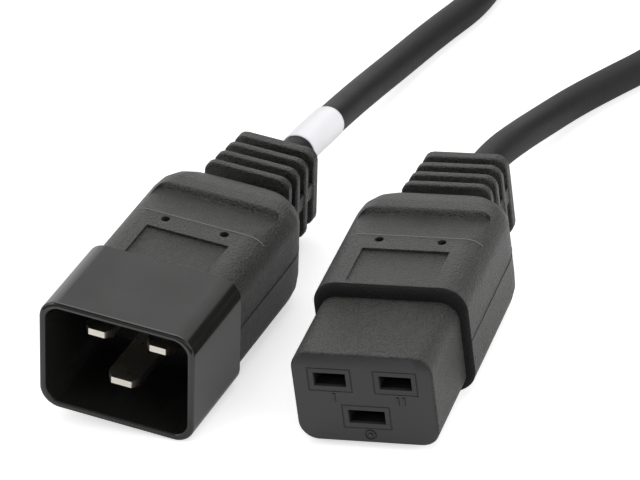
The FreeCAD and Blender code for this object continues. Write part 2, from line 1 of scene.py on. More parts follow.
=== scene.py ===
# %% [markdown]
# # A heavy-duty appliance lead
#
# The object is a mains lead for rack equipment. A rectangular line connector
# with three slots lies in front, a plug with three flat pins lies beside it,
# and one round cord joins them. The solid parts come from CAD, already in
# place and in metres. This notebook gives them their finish and adds what is
# better drawn in Blender: the flexible cord, its label, the straps that tie
# the spare length and the fine marks of moulding.

import math

import bpy
from mathutils import Matrix, Quaternion, Vector


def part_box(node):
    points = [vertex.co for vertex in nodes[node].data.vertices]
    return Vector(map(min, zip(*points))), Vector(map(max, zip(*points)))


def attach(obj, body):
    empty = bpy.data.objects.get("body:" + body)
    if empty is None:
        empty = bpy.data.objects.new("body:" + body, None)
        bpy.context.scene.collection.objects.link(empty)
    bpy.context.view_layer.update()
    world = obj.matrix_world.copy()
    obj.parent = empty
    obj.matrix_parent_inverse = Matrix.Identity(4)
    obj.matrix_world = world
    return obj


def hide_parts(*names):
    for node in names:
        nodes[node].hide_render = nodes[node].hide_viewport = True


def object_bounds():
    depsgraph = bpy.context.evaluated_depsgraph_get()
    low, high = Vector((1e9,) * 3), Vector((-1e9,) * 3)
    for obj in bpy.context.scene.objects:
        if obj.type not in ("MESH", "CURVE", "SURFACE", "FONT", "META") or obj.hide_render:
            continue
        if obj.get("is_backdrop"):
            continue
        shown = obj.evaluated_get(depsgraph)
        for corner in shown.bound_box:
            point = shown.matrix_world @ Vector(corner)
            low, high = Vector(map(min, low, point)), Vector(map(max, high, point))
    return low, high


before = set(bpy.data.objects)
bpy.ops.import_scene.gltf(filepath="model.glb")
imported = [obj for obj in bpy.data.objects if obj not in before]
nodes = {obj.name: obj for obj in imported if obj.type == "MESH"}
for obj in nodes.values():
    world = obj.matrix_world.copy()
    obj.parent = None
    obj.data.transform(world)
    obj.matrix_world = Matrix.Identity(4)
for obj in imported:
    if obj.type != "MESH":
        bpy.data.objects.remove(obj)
cad_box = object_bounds()
print("CAD pieces:", len(nodes))
print("CAD box in millimetres:", [round(v * 1000, 1) for corner in cad_box for v in corner])

# %% [markdown]
# ## Units and the two local frames
#
# Everything is in metres, so a small helper turns millimetres into metres and
# keeps the sizes readable. The connector is square to the world. The plug is
# turned a little and leans on the lower edge of its shroud, so its details
# are placed with one matrix that takes the plug's own axes to the world's.

# %% Millimetres and local frames
MM = 0.001


def mm(*values):
    """A point given in millimetres, as a vector in metres."""
    return Vector(values) * MM


connector_low, connector_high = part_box("connector_housing")
face_y = connector_low.y
boot_y = connector_high.y
insert_axis_z = 11.1 * MM

plug_yaw = math.radians(-7.4)
plug_roll = math.radians(8.7)
plug_turn = Matrix.Rotation(plug_yaw, 4, "Z") @ Matrix.Rotation(plug_roll, 4, "Y")
plug_origin = mm(-49.5, -39.45, 14.109)
plug_frame = Matrix.Translation(plug_origin) @ plug_turn
connector_frame = Matrix.Translation(Vector((0, face_y, insert_axis_z)))
print("connector face at y =", round(face_y / MM, 2), "mm")

# %% [markdown]
# ## Camera
#
# A long lens from about a metre away keeps both housings nearly free of
# perspective, as in a catalogue picture. The camera is placed by the point it
# looks at, its distance and its direction, and then rolled about its own axis.

# %% Camera
camera_aim = mm(-24.74, 15.26, 12.0)
camera_distance = 996.7 * MM
camera_azimuth = math.radians(20.365)
camera_elevation = math.radians(30.566)
camera_roll = math.radians(-7.72)

camera_data = bpy.data.cameras.new("catalogue_camera")
camera_data.sensor_width = 36.0
camera_data.lens = 281.25
camera_data.clip_start = 0.05
camera_data.clip_end = 10.0
camera = bpy.data.objects.new("catalogue_camera", camera_data)
bpy.context.scene.collection.objects.link(camera)

towards_camera = Vector((math.sin(camera_azimuth) * math.cos(camera_elevation),
                         -math.cos(camera_azimuth) * math.cos(camera_elevation),
                         math.sin(camera_elevation)))
camera.location = camera_aim + towards_camera * camera_distance
camera.rotation_mode = "QUATERNION"
level = (-towards_camera).to_track_quat("-Z", "Y")
camera.rotation_quaternion = level @ Quaternion((0, 0, 1), camera_roll)
bpy.context.scene.camera = camera
bpy.context.scene.view_settings.view_transform = "Standard"
print("camera at", [round(v, 3) for v in camera.location])

# %% [markdown]
# ## The cord's route
#
# A flexible cord is one smooth line. It leaves the connector's strain relief straight, sinks to
# the surface, runs to a coil that holds the spare length, and comes back to the plug. A physics
# run could lay it down, but it would settle a little differently after every change. The free
# stretches here are a few points listed in millimetres, so the cord always lies the same.

# %% Free stretches
cord_diameter = 6.8 * MM
cord_radius = cord_diameter / 2
cord_sides = 28
# In millimetres: the height of the cord's middle where it lies flat, where it
# leaves the connector, the plug's length, and how far the cord's middle is
# below the plug's own axis.
lying = cord_radius / MM
connector_exit = boot_y / MM
exit_height = 10.8
plug_length = 76.4
cord_drop = 0.3
plug_boot = plug_frame @ mm(0, plug_length, -cord_drop)
plug_heading = (plug_turn @ Vector((0, 1, 0))).normalized()

connector_route = [
    mm(0, connector_exit, exit_height),
    mm(0, connector_exit + 6.6, exit_height),
    mm(1.2, 55.0, 10.2),
    mm(3.2, 66.0, 8.0),
    mm(5.3, 77.5, 5.2),
    mm(8.6, 88.0, lying + 0.2),
    mm(14.6, 97.4, lying),
    mm(22.2, 108.0, lying),
    mm(30.8, 121.2, 6.6),
]
plug_route = [
    plug_boot,
    plug_boot + plug_heading * 8.0 * MM,
    mm(-37.7, 53.0, 12.9),
    mm(-37.0, 65.5, 10.4),
    mm(-35.9, 81.5, 7.2),
    mm(-33.2, 99.8, 4.2),
    mm(-28.9, 115.8, lying),
    mm(-23.4, 129.6, lying),
]
print("route points:", len(connector_route), "and", len(plug_route))

# %% [markdown]
# ## The coil
#
# The coil is wound by a loop: half a turn on top, a turn inside and a turn
# outside on the surface. Three pairs of angles say where the cord steps in,
# steps down and steps out again, and each step is a soft change.

# %% Coil
coil_centre = mm(14.0, 183.4, 0)
outer_turn = 39.6 * MM
entry_angle = -20.0
exit_angle = 185.0 + 2 * 360.0
upper_layer = 10.8 * MM
angle_step = 15.0
step_in = (165, 255)
step_down = (255, 335)
step_out = (545, 640)


def ease(start, stop, angle):
    """0 before start, 1 after stop, and a soft change between them."""
    t = min(max((angle - start) / (stop - start), 0.0), 1.0)
    return (1 - math.cos(math.pi * t)) / 2


def coil_point(angle):
    """Middle of the cord at an angle wound since the coil began, in degrees."""
    radius = outer_turn - cord_diameter * ease(*step_in, angle)
    radius += cord_diameter * ease(*step_out, angle)
    height = upper_layer - cord_diameter * ease(*step_down, angle)
    a = math.radians(angle)
    flat = Vector((math.cos(a), math.sin(a), 0)) * radius
    return coil_centre + flat + Vector((0, 0, height))


def coil_heading(angle):
    """The direction in which the cord runs at that angle."""
    a = math.radians(angle)
    return Vector((-math.sin(a), math.cos(a), 0))


# A curve of order three runs a little inside its control points.
swell = 1 / math.cos(math.radians(angle_step / 2))
turns = []
count = round((exit_angle - entry_angle) / angle_step)
for i in range(1, count):
    angle = entry_angle + (exit_angle - entry_angle) * i / count
    point = coil_point(angle)
    middle = Vector((coil_centre.x, coil_centre.y, point.z))
    turns.append(middle + (point - middle) * swell)

entry_point = coil_point(entry_angle)
exit_point = coil_point(exit_angle)
entry_lead = [entry_point - coil_heading(entry_angle) * d * MM for d in (38.0, 24.0, 9.0)]
exit_lead = [exit_point + coil_heading(exit_angle) * d * MM for d in (9.0, 24.0, 37.0)]
print("coil control points:", len(turns))

# %% [markdown]
# ## One line for the whole cord
#
# All the points together make one NURBS line of order three, which is smooth where the
# stretches meet. The points read back from it are what the tube and the label follow.

# %% The route as one NURBS line
route = connector_route + entry_lead + turns + exit_lead + list(reversed(plug_route))
cord_curve = bpy.data.curves.new("cord_route", "CURVE")
cord_curve.dimensions = "3D"
cord_curve.resolution_u = 8
spline = cord_curve.splines.new("NURBS")
spline.points.add(len(route) - 1)
for control, place in zip(spline.points, route):
    control.co = (*place, 1.0)
spline.order_u = 3
spline.use_endpoint_u = True
route_line = bpy.data.objects.new("cord_route", cord_curve)
line_mesh = bpy.data.meshes.new_from_object(route_line)
cord_line = [v.co.copy() for v in line_mesh.vertices]
bpy.data.meshes.remove(line_mesh)
bpy.data.objects.remove(route_line)

# %% [markdown]
# ## A tube along a line
#
# The cord and the hair lines of the mould are round threads along a row of
# points. A curve with a round bevel would look much the same. Built as a mesh,
# the tube has even sides, closed ends and a line that can be measured. A ring
# of corners stands square to the line at each point, and is turned as little
# as possible from the one before, so the tube doesn't twist.

# %% Helpers for meshes
def mesh_object(name, corners, faces, smooth=True):
    """A new mesh object that rides on the part's only body."""
    mesh = bpy.data.meshes.new(name)
    mesh.from_pydata([tuple(c) for c in corners], [], faces)
    mesh.update()
    for polygon in mesh.polygons:
        polygon.use_smooth = smooth
    obj = bpy.data.objects.new(name, mesh)
    bpy.context.scene.collection.objects.link(obj)
    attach(obj, "root")
    return obj


def rolled_faces(rings, size):
    """Quads that join a row of equal closed rings."""
    return [(r * size + i, r * size + (i + 1) % size,
             (r + 1) * size + (i + 1) % size, (r + 1) * size + i)
            for r in range(rings - 1) for i in range(size)]


def tube(name, line, radius, sides):
    """A closed round tube along a row of points."""
    corners = []
    side = None
    for k, point in enumerate(line):
        before, after = line[max(k - 1, 0)], line[min(k + 1, len(line) - 1)]
        heading = (after - before).normalized()
        if side is None:
            side = heading.cross(Vector((0, 0, 1)))
        side = (side - heading * side.dot(heading)).normalized()
        up = side.cross(heading)
        for i in range(sides):
            a = 2 * math.pi * i / sides
            corners.append(point + side * radius * math.cos(a) + up * radius * math.sin(a))
    faces = rolled_faces(len(line), sides)
    faces.append(tuple(range(sides)))
    faces.append(tuple(reversed(range(len(corners) - sides, len(corners)))))
    return mesh_object(name, corners, faces)


# %% The cord
power_cord = tube("power_cord", cord_line, cord_radius, cord_sides)
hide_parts("cord_connector_side", "cord_plug_side", "cord_coil")
print("cord tube:", len(power_cord.data.polygons), "faces")

# %% [markdown]
# ## The wrap-round label
#
# Near the plug a strip of white film is wrapped once round the cord, with its
# end stuck over its start. The real print is left out, so the film is blank.
# It could be a painted band on the cord, but then it would have no edge that
# catches the light. Here it is a thin rolled sheet: stations along the cord's
# own line, each with a spiral of points whose last part lies over the first.

# %% Roll the label
label_start = 10.4 * MM
label_length = 16.5 * MM
film = 0.13 * MM
film_clearance = 0.06 * MM
stations = 22
turn_points = 60
overlap = math.radians(30)
lap_rise = 0.15
lap_height = film * 1.15
seam_angle = math.radians(118)


def at_distance(line, distance):
    """Point and direction at a distance along a row of points."""
    for a, b in zip(line, line[1:]):
        step = (b - a).length
        if distance <= step:
            return a.lerp(b, distance / step), (b - a).normalized()
        distance -= step
    return line[-1].copy(), (line[-1] - line[-2]).normalized()


from_plug = list(reversed(cord_line))
corners = []
for k in range(stations):
    centre, heading = at_distance(from_plug, label_start + label_length * k / (stations - 1))
    across = heading.cross(Vector((0, 0, 1))).normalized()
    up = across.cross(heading).normalized()
    inside = []
    outside = []
    for i in range(turn_points):
        swept = (2 * math.pi + overlap) * i / (turn_points - 1)
        lap = min(max((swept - 2 * math.pi + lap_rise) / lap_rise, 0.0), 1.0)
        radius = cord_radius + film_clearance + lap_height * lap
        ray = across * math.cos(seam_angle + swept) + up * math.sin(seam_angle + swept)
        inside.append(centre + ray * radius)
        outside.append(centre + ray * (radius + film))
    corners += inside + list(reversed(outside))
ring = 2 * turn_points
faces = rolled_faces(stations, ring)
for first in (0, (stations - 1) * ring):
    for i in range(turn_points - 1):
        faces.append((first + i, first + i + 1, first + ring - 2 - i, first + ring - 1 - i))
wrap_label = mesh_object("wrap_label", corners, faces)
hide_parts("cord_label")
print("label:", len(corners), "corners")

# %% [markdown]
# ## Straps round the coil
#
# Two narrow hook-and-loop straps hold the spare turns. Each is pulled tight,
# so it takes the shape of the strands that it holds: the outline that a rubber
# band would take round their cross-sections. A plain oval loop would be
# simpler, but it would cut into some strands and stand off others. So the
# outline is worked out from the coil itself, drawn along the strap's width,
# and given a tongue that is pressed down on top, as on a real strap.

# %% Shape of a pulled strap
strap_width = 9.0 * MM
strap_thickness = 0.45 * MM
strap_gap = 0.08 * MM
strap_edge = 0.12 * MM
loop_points = 72
tongue_points = 17
tongue_lift = strap_thickness * 0.9
circle_points = 60


def strand_centres(angle):
    """Radius and height of every strand that the coil has at an angle."""
    found = []
    wound = angle
    while wound < exit_angle:
        if wound > entry_angle:
            place = coil_point(wound) - coil_centre
            found.append((math.hypot(place.x, place.y), place.z))
        wound += 360.0
    return found


def rubber_band(centres, radius):
    """Convex outline, anticlockwise, round circles of one radius."""
    angles = [math.radians(360 // circle_points * k) for k in range(circle_points)]
    rim = sorted((round(r + radius * math.cos(a), 7), round(z + radius * math.sin(a), 7))
                 for r, z in centres for a in angles)
    outline = []
    for row in (rim, list(reversed(rim))):
        half = []
        for p in row:
            while len(half) > 1:
                (ax, ay), (bx, by) = half[-2], half[-1]
                if (bx - ax) * (p[1] - ay) - (by - ay) * (p[0] - ax) > 0:
                    break
                half.pop()
            half.append(p)
        outline += half[:-1]
    return outline


def even_loop(outline, count):
    """The same closed outline with evenly spaced points."""
    closed = [Vector((*p, 0)) for p in outline + outline[:1]]
    total = sum((b - a).length for a, b in zip(closed, closed[1:]))
    return [at_distance(closed, total * i / count)[0] for i in range(count)]


# %% Make the straps
def pulled_strap(name, angle, node):
    """A strap round the strands at an angle, with its tongue on the outer side."""
    count = loop_points
    centres = strand_centres(angle)
    inner = even_loop(rubber_band(centres, cord_radius + strap_gap), count)
    outer = even_loop(rubber_band(centres, cord_radius + strap_gap + strap_thickness), count)
    a = math.radians(angle)
    outward = Vector((math.cos(a), math.sin(a), 0))
    along = Vector((-math.sin(a), math.cos(a), 0))
    base = Vector((coil_centre.x, coil_centre.y, 0))

    def place(p, side):
        return base + outward * p.x + Vector((0, 0, max(p.y, 0.0))) + along * side

    half = strap_width / 2
    inset = half - strap_edge
    rows = [[place(p, side) for p in loop]
            for loop, side in ((inner, -half), (outer, -half), (outer, -inset),
                               (outer, inset), (outer, half), (inner, half))]
    corners = [p for row in rows for p in row]
    faces = rolled_faces(len(rows), count)
    last_row = (len(rows) - 1) * count
    faces += [(last_row + i, last_row + (i + 1) % count, (i + 1) % count, i)
              for i in range(count)]

    # The tongue starts at the top, a little towards the coil's outer side.
    top = max(range(count), key=lambda i: outer[i].y + 0.2 * outer[i].x)
    middle = sum(outer, Vector()) / count
    first = len(corners)
    for i in range(tongue_points):
        p = outer[(top - tongue_points // 2 + i) % count]
        lifted = p + (p - middle).normalized() * tongue_lift
        corners += [place(p, -inset), place(lifted, -inset),
                    place(lifted, inset), place(p, inset)]
    faces += [tuple(first + corner for corner in face)
              for face in rolled_faces(tongue_points, 4)]
    last = len(corners) - 4
    faces += [(first + 3, first + 2, first + 1, first), (last, last + 1, last + 2, last + 3)]
    strap = mesh_object(name, corners, faces)
    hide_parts(node)
    print(name, "holds", len(centres), "strands")
    return strap


strap_a = pulled_strap("strap_a", 60.0, "coil_tie_a")
strap_b = pulled_strap("strap_b", 240.0, "coil_tie_b")

# %% [markdown]
# ## The flexible cord
#
# Everything else on the lead is stiff or nearly so. The plug hangs on the cord's far end.

# %% [markdown]
# ## Fine marks of moulding
#
# The two halves of the mould meet along the middle of each housing and leave a hair line there.
# It follows the side and the drawn-in shoulder. It is a thread 0.15 mm thick, half sunk into
# the surface, so it has a real edge from every side. Its near-black colour is painted shade, as
# if the line were a groove.

# %% Parting lines
shoulder_sweep = 8.0
shoulder_inset = 3.4
shoulder_parts = 4
thread_sides = 6
parting_radius = 0.075 * MM
connector_half_width = 15.5
plug_half_width = 15.6
# Per housing, in millimetres: its frame, half its width, the height of the
# parting line and where the line starts and ends.
parting_places = {
    "connector": (connector_frame, connector_half_width, 0.6, 21.3, 58.0),
    "plug": (plug_frame, plug_half_width, 0.0, 22.4, 56.3),
}


def parting_line(name, side, frame_matrix, half_width, height, front, rear):
    """A thread along one side of a housing; side is 1 on the right, -1 on the left."""
    start = rear - shoulder_sweep
    outline = [(side * half_width, front)]
    for i in range(shoulder_parts + 1):
        a = math.radians(90 * i / shoulder_parts)
        outline.append((side * half_width - side * shoulder_inset * (1 - math.cos(a)),
                        start + shoulder_sweep * math.sin(a)))
    line = [frame_matrix @ mm(x, y, height) for x, y in outline]
    return tube(name, line, parting_radius, thread_sides)


parting_lines = [parting_line(housing + "_parting_" + word, side, *place)
                 for side, word in ((1, "right"), (-1, "left"))
                 for housing, place in parting_places.items()]
print("parting lines:", len(parting_lines))

# %% [markdown]
# The field on top of each housing is made by a changeable insert in the mould. The insert's
# rear edge leaves a second hair line across the top, which bends a little down the round edges.
# Its light grey colour is a painted highlight.

# %% Edge of the mould's insert
body_corner = 5.0
insert_edge_radius = 0.08 * MM


def insert_edge(name, frame_matrix, half_width, distance, top):
    """A thread across the top at a distance behind the housing's front."""
    flat = half_width - body_corner
    bend = [math.radians(a) for a in (0, 9, 18, 27, 36, 45)]
    right = [(flat + body_corner * math.sin(a), top - body_corner * (1 - math.cos(a)))
             for a in bend]
    outline = [(-x, z) for x, z in reversed(right)] + right
    line = [frame_matrix @ mm(x, distance, z) for x, z in outline]
    return tube(name, line, insert_edge_radius, thread_sides)


insert_lines = [
    insert_edge("connector_insert_edge", connector_frame, connector_half_width, 39.3, 12.29),
    insert_edge("plug_insert_edge", plug_frame, plug_half_width, 37.6, 11.79),
]
print("insert edges:", len(insert_lines))

# %% [markdown]
# ## Flash in the slot grooves
#
# A little of the overmould creeps into the fine groove round each slot's
# frame. A thin painted line could stand for what is left of the groove, but it
# would stay equally dark from every side. Three low frames fill most of the
# groove instead, so it is a real hair line that shades itself.

# %% Fill the grooves
# Middle of each slot across and up, and the width of its pin, in millimetres.
slot_places = ((-6.5, 4.0, 5.8), (6.5, 4.0, 5.8), (0.0, -4.0, 6.7))
half_pin = 1.0
play_across = 0.3
play_up = 0.45
frame_wall = 0.9
# Depth behind the mating face and distance from the frame, round the flash.
flash_section = ((0.34, 0.29), (0.10, 0.24), (0.10, 0.06), (0.34, 0.01))

corners, faces = [], []
for x, z, pin_width in slot_places:
    half_width = pin_width / 2 + play_across + frame_wall
    half_height = half_pin + play_up + frame_wall
    first = len(corners)
    for y, grow in flash_section:
        a, b = half_width + grow, half_height + grow
        for sx, sz in ((-1, -1), (1, -1), (1, 1), (-1, 1)):
            corners.append(connector_frame @ mm(x + sx * a, y, z + sz * b))
    # Four rings of four corners, and the last ring joins the first.
    faces += [(first + 4 * r + i, first + 4 * r + (i + 1) % 4,
               first + 4 * (r + 1) % 16 + (i + 1) % 4, first + 4 * (r + 1) % 16 + i)
              for r in range(4) for i in range(4)]
groove_flash = mesh_object("groove_flash", corners, faces, smooth=False)
print("groove fill:", len(faces), "faces")

# %% [markdown]
# ## Marks at the three slots
#
# Real connectors carry small raised marks under the slots. Plain ones stand
# here: one bar, two bars and a ring with a dot. Text objects would bring in a
# font, and bars and rings are easy to build corner by corner, with the slanted
# sides that let a moulded mark leave its mould. They are moulded with the
# face, 0.16 mm high, with sloping sides.

# %% Raised marks
relief = 0.16 * MM
slope = 0.10 * MM
sunk = 0.02 * MM
bar_width = 0.5 * MM
bar_height = 1.9 * MM
ring_x = 0.3 * MM
ring_z = -8.0 * MM


def raised_form(corners, faces, outline, hole=None):
    """Add a flat-topped form with sloping sides; outlines are (x, z) in metres."""
    tops = []
    for points, inward in ((outline, slope), (hole, -slope)):
        if points is None:
            continue
        count = len(points)
        middle = Vector((sum(p[0] for p in points), sum(p[1] for p in points))) / count
        first = len(corners)
        for x, z in points:
            corners.append(connector_frame @ Vector((x, sunk, z)))
        for x, z in points:
            away = (Vector((x, z)) - middle).normalized() * inward
            corners.append(connector_frame @ Vector((x - away.x, -relief, z - away.y)))
        faces.extend((first + i, first + (i + 1) % count,
                      first + count + (i + 1) % count, first + count + i) for i in range(count))
        tops.append([first + count + i for i in range(count)])
    if hole is None:
        faces.append(tuple(tops[0]))
    else:
        count = len(tops[0])
        faces.extend((tops[0][i], tops[0][(i + 1) % count],
                      tops[1][(i + 1) % count], tops[1][i]) for i in range(count))


def bar_outline(x, z):
    """An upright bar round a middle given in millimetres."""
    a, b = bar_width / 2, bar_height / 2
    return [(x * MM - a, z * MM - b), (x * MM + a, z * MM - b),
            (x * MM + a, z * MM + b), (x * MM - a, z * MM + b)]


def circle_outline(radius):
    """A circle under the lowest slot; the radius is in millimetres."""
    angles = [math.radians(15 * k) for k in range(24)]
    return [(ring_x + radius * MM * math.cos(a), ring_z + radius * MM * math.sin(a))
            for a in angles]


corners, faces = [], []
for x, z in ((-6.0, 0.1), (6.6, 0.0), (7.8, 0.0)):
    raised_form(corners, faces, bar_outline(x, z))
raised_form(corners, faces, circle_outline(1.2), circle_outline(0.85))
raised_form(corners, faces, circle_outline(0.5))
slot_marks = mesh_object("slot_marks", corners, faces, smooth=False)
print("marks:", len(faces), "faces")

# %% [markdown]
# ## Floor, backdrop and light
#
# The floor is a white sheet. It shows pure white to the camera, yet still
# takes the object's shadow. A shadow catcher would need a backdrop laid under
# it afterwards. Here the sheet is lit like any paper and has a plain glow
# added, and together they reach white everywhere but in the shadow.

# %% Helpers for node trees
def math_node(tree, operation, a, b=None, clamp=False):
    """A Math node whose inputs are sockets or numbers."""
    node = tree.nodes.new("ShaderNodeMath")
    node.operation = operation
    node.use_clamp = clamp
    for slot, value in zip(node.inputs, (a, b)):
        if value is None:
            continue
        if isinstance(value, (int, float)):
            slot.default_value = value
        else:
            tree.links.new(value, slot)
    return node.outputs[0]


def ray_mask(tree, *kinds):
    """1 for any of these kinds of rays, 0 for all others."""
    rays = tree.nodes.new("ShaderNodeLightPath")
    mask = rays.outputs[kinds[0]]
    for kind in kinds[1:]:
        mask = math_node(tree, "MAXIMUM", mask, rays.outputs[kind])
    return mask


def mix_shaders(tree, mask, first, second):
    """The first shader where the mask is 0, the second where it is 1."""
    node = tree.nodes.new("ShaderNodeMixShader")
    tree.links.new(mask, node.inputs[0])
    tree.links.new(first, node.inputs[1])
    tree.links.new(second, node.inputs[2])
    return node.outputs[0]


def with_glow(tree, lit, strength):
    """A lit surface with a plain white glow added."""
    glow = tree.nodes.new("ShaderNodeEmission")
    glow.inputs["Strength"].default_value = strength
    both = tree.nodes.new("ShaderNodeAddShader")
    tree.links.new(lit, both.inputs[0])
    tree.links.new(glow.outputs[0], both.inputs[1])
    return both.outputs[0]


# %% Floor
half_floor = 3.0
floor_drop = 0.1 * MM
paper_white = 0.86
glow_for_camera = 0.6
glow_for_mirrors = 0.10

floor_mesh = bpy.data.meshes.new("paper_floor")
floor_mesh.from_pydata([(-half_floor, -half_floor, 0), (half_floor, -half_floor, 0),
                        (half_floor, half_floor, 0), (-half_floor, half_floor, 0)],
                       [], [(0, 1, 2, 3)])
paper_floor = bpy.data.objects.new("paper_floor", floor_mesh)
bpy.context.scene.collection.objects.link(paper_floor)
paper_floor.location.z = -floor_drop
paper_floor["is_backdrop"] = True

paper = bpy.data.materials.new("white_paper")
paper.use_nodes = True
tree = paper.node_tree
tree.nodes.clear()
surface = tree.nodes.new("ShaderNodeOutputMaterial")
sheet = tree.nodes.new("ShaderNodeBsdfDiffuse")
sheet.inputs["Color"].default_value = (paper_white, paper_white, paper_white, 1)
lit = sheet.outputs[0]
mirrored = mix_shaders(tree, ray_mask(tree, "Is Glossy Ray", "Is Transmission Ray"),
                       lit, with_glow(tree, lit, glow_for_mirrors))
shown = mix_shaders(tree, ray_mask(tree, "Is Camera Ray"),
                    mirrored, with_glow(tree, lit, glow_for_camera))
tree.links.new(shown, surface.inputs[0])
paper.cycles.emission_sampling = "NONE"
floor_mesh.materials.append(paper)
print("floor:", 2 * half_floor, "m square")

# %% [markdown]
# The world is the white cloth of a light tent. It could be a box of white
# planes, but the world costs nothing to trace. It lights the object gently,
# is light grey to mirror rays and pure white to the camera.

# %% World
world = bpy.data.worlds.new("light_tent")
bpy.context.scene.world = world
world.use_nodes = True
tree = world.node_tree
tree.nodes.clear()
surface = tree.nodes.new("ShaderNodeOutputWorld")


def tent_cloth(level, strength=1.0):
    """A plain background; level is its grey from 0 to 1."""
    cloth = tree.nodes.new("ShaderNodeBackground")
    cloth.inputs["Color"].default_value = (level, level, level, 1)
    cloth.inputs["Strength"].default_value = strength
    return cloth.outputs[0]


around = mix_shaders(tree, ray_mask(tree, "Is Glossy Ray", "Is Transmission Ray"),
                     tent_cloth(1.0, strength=0.35), tent_cloth(0.8))
shown = mix_shaders(tree, ray_mask(tree, "Is Camera Ray"), around, tent_cloth(1.0))
tree.links.new(shown, surface.inputs[0])
print("world nodes:", len(tree.nodes))

# %% [markdown]
# Large soft lamps stand for the lit panels of the tent. A small hard lamp
# would put a glint on every grain. Panels about a metre wide give the long
# soft highlights by which a dark rubbery surface is read, and because the
# right one is stronger, the sides and the tops differ in tone.

# %% Lamps
def soft_lamp(name, place, size, power):
    """A rectangular lamp that faces the object; size is in metres, power in watts."""
    data = bpy.data.lights.new(name, "AREA")
    data.shape = "RECTANGLE"
    data.size, data.size_y = size
    data.energy = power
    lamp = bpy.data.objects.new(name, data)
    lamp.location = place
    aim = camera_aim - Vector(place)
    lamp.rotation_mode = "QUATERNION"
    lamp.rotation_quaternion = aim.to_track_quat("-Z", "Y")
    bpy.context.scene.collection.objects.link(lamp)
    return lamp


soft_lamp("top_panel", (0.0, 0.45, 1.2), (1.2, 0.9), 6.6)
soft_lamp("rear_panel", (-0.5, 1.3, 0.5), (1.8, 0.9), 2.8)
# The panel on the right is low and bright, so glossy tops would mirror it as
# a white patch from the left. The white tent is enough for them to mirror.
right_panel = soft_lamp("right_panel", (1.35, -0.42, 0.56), (1.6, 1.0), 18.5)
right_panel.visible_glossy = False
soft_lamp("left_panel", (-1.0, -0.6, 0.9), (0.9, 0.9), 4.0)

# %% [markdown]
# ## Black cards
#
# In an all-white tent a black object looks flat. Studios stand black cards
# just outside the view, so that round edges mirror a dark line. There is one
# behind on the right, one on the table in front and one that leans before the
# lens. They are there for mirror rays only, so the camera sees straight
# through them, they take no light away and they throw no shadow.

# %% Black cards
above_floor = 0.4 * MM

black_card = bpy.data.materials.new("black_card")
black_card.use_nodes = True
matt_black = black_card.node_tree.nodes["Principled BSDF"]
matt_black.inputs["Base Color"].default_value = (0, 0, 0, 1)
matt_black.inputs["Specular IOR Level"].default_value = 0.0


def studio_card(name, corners):
    """A black card by its four corners in metres, seen by mirror rays only."""
    mesh = bpy.data.meshes.new(name)
    mesh.from_pydata(corners, [], [(0, 1, 2, 3)])
    mesh.materials.append(black_card)
    card = bpy.data.objects.new(name, mesh)
    bpy.context.scene.collection.objects.link(card)
    card.visible_camera = False
    card.visible_diffuse = False
    card.visible_shadow = False
    card.visible_transmission = False
    card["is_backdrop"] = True


studio_card("card_behind", [(0.15, 0.95, 0.0), (1.1, 0.35, 0.0), (1.1, 0.35, 0.46),
                            (0.15, 0.95, 0.46)])
studio_card("card_in_front", [(-0.6, -0.6, above_floor), (0.6, -0.6, above_floor),
                              (0.6, -0.08, above_floor), (-0.6, -0.08, above_floor)])
studio_card("card_round_lens", [(-0.75, -0.80, 0.34), (0.45, -0.80, 0.34),
                                (0.45, -0.36, 1.0), (-0.75, -0.36, 1.0)])

# %% [markdown]
# ## Shader groups
#
# Moulded plastic is never perfectly flat. The flexible housings carry a fine
# grain, which spark erosion left in the steel of the mould. An image of grain
# would show seams and repeats. Noise gives the uneven grains, and Voronoi
# cells give the pits between them a round outline. The effect is a node group
# with named inputs, so several materials can share it with their own values.

# %% A helper for groups
def new_group(name, inputs, outputs):
    """A group with a Vector input; inputs are further values by name, outputs are names."""
    group = bpy.data.node_groups.new(name, "ShaderNodeTree")
    group.interface.new_socket("Vector", in_out="INPUT", socket_type="NodeSocketVector")
    for label, value in inputs.items():
        socket = group.interface.new_socket(label, in_out="INPUT",
                                            socket_type="NodeSocketFloat")
        socket.default_value = value
    for label in outputs:
        group.interface.new_socket(label, in_out="OUTPUT", socket_type="NodeSocketFloat")
    start = group.nodes.new("NodeGroupInput")
    end = group.nodes.new("NodeGroupOutput")
    return group, start, end


# %% Spark-eroded grain
grain, start, end = new_group(
    "spark_eroded_grain", {"Grain Size": 0.00025, "Unevenness": 0.5, "Contrast": 1.0},
    ["Height", "Speckle"])
scale = math_node(grain, "DIVIDE", 1.0, start.outputs["Grain Size"])
fine = grain.nodes.new("ShaderNodeTexNoise")
fine.inputs["Detail"].default_value = 2.0
fine.inputs["Roughness"].default_value = 0.6
cells = grain.nodes.new("ShaderNodeTexVoronoi")
cells.feature = "SMOOTH_F1"
for texture in (fine, cells):
    grain.links.new(start.outputs["Vector"], texture.inputs["Vector"])
    grain.links.new(scale, texture.inputs["Scale"])
bumps = math_node(grain, "MULTIPLY", cells.outputs["Distance"], start.outputs["Unevenness"])
height = math_node(grain, "ADD", fine.outputs[0], bumps)
grain.links.new(height, end.inputs["Height"])
speckle = math_node(grain, "SUBTRACT", fine.outputs[0], 0.5)
speckle = math_node(grain, "MULTIPLY", speckle, start.outputs["Contrast"])
grain.links.new(speckle, end.inputs["Speckle"])
print("grain nodes:", len(grain.nodes))

# %% [markdown]
# Hands, boxes and the mould itself leave faint patches with a little more or
# less shine. Scratches would be too strong for a new part, so soft noise some
# millimetres wide is enough.

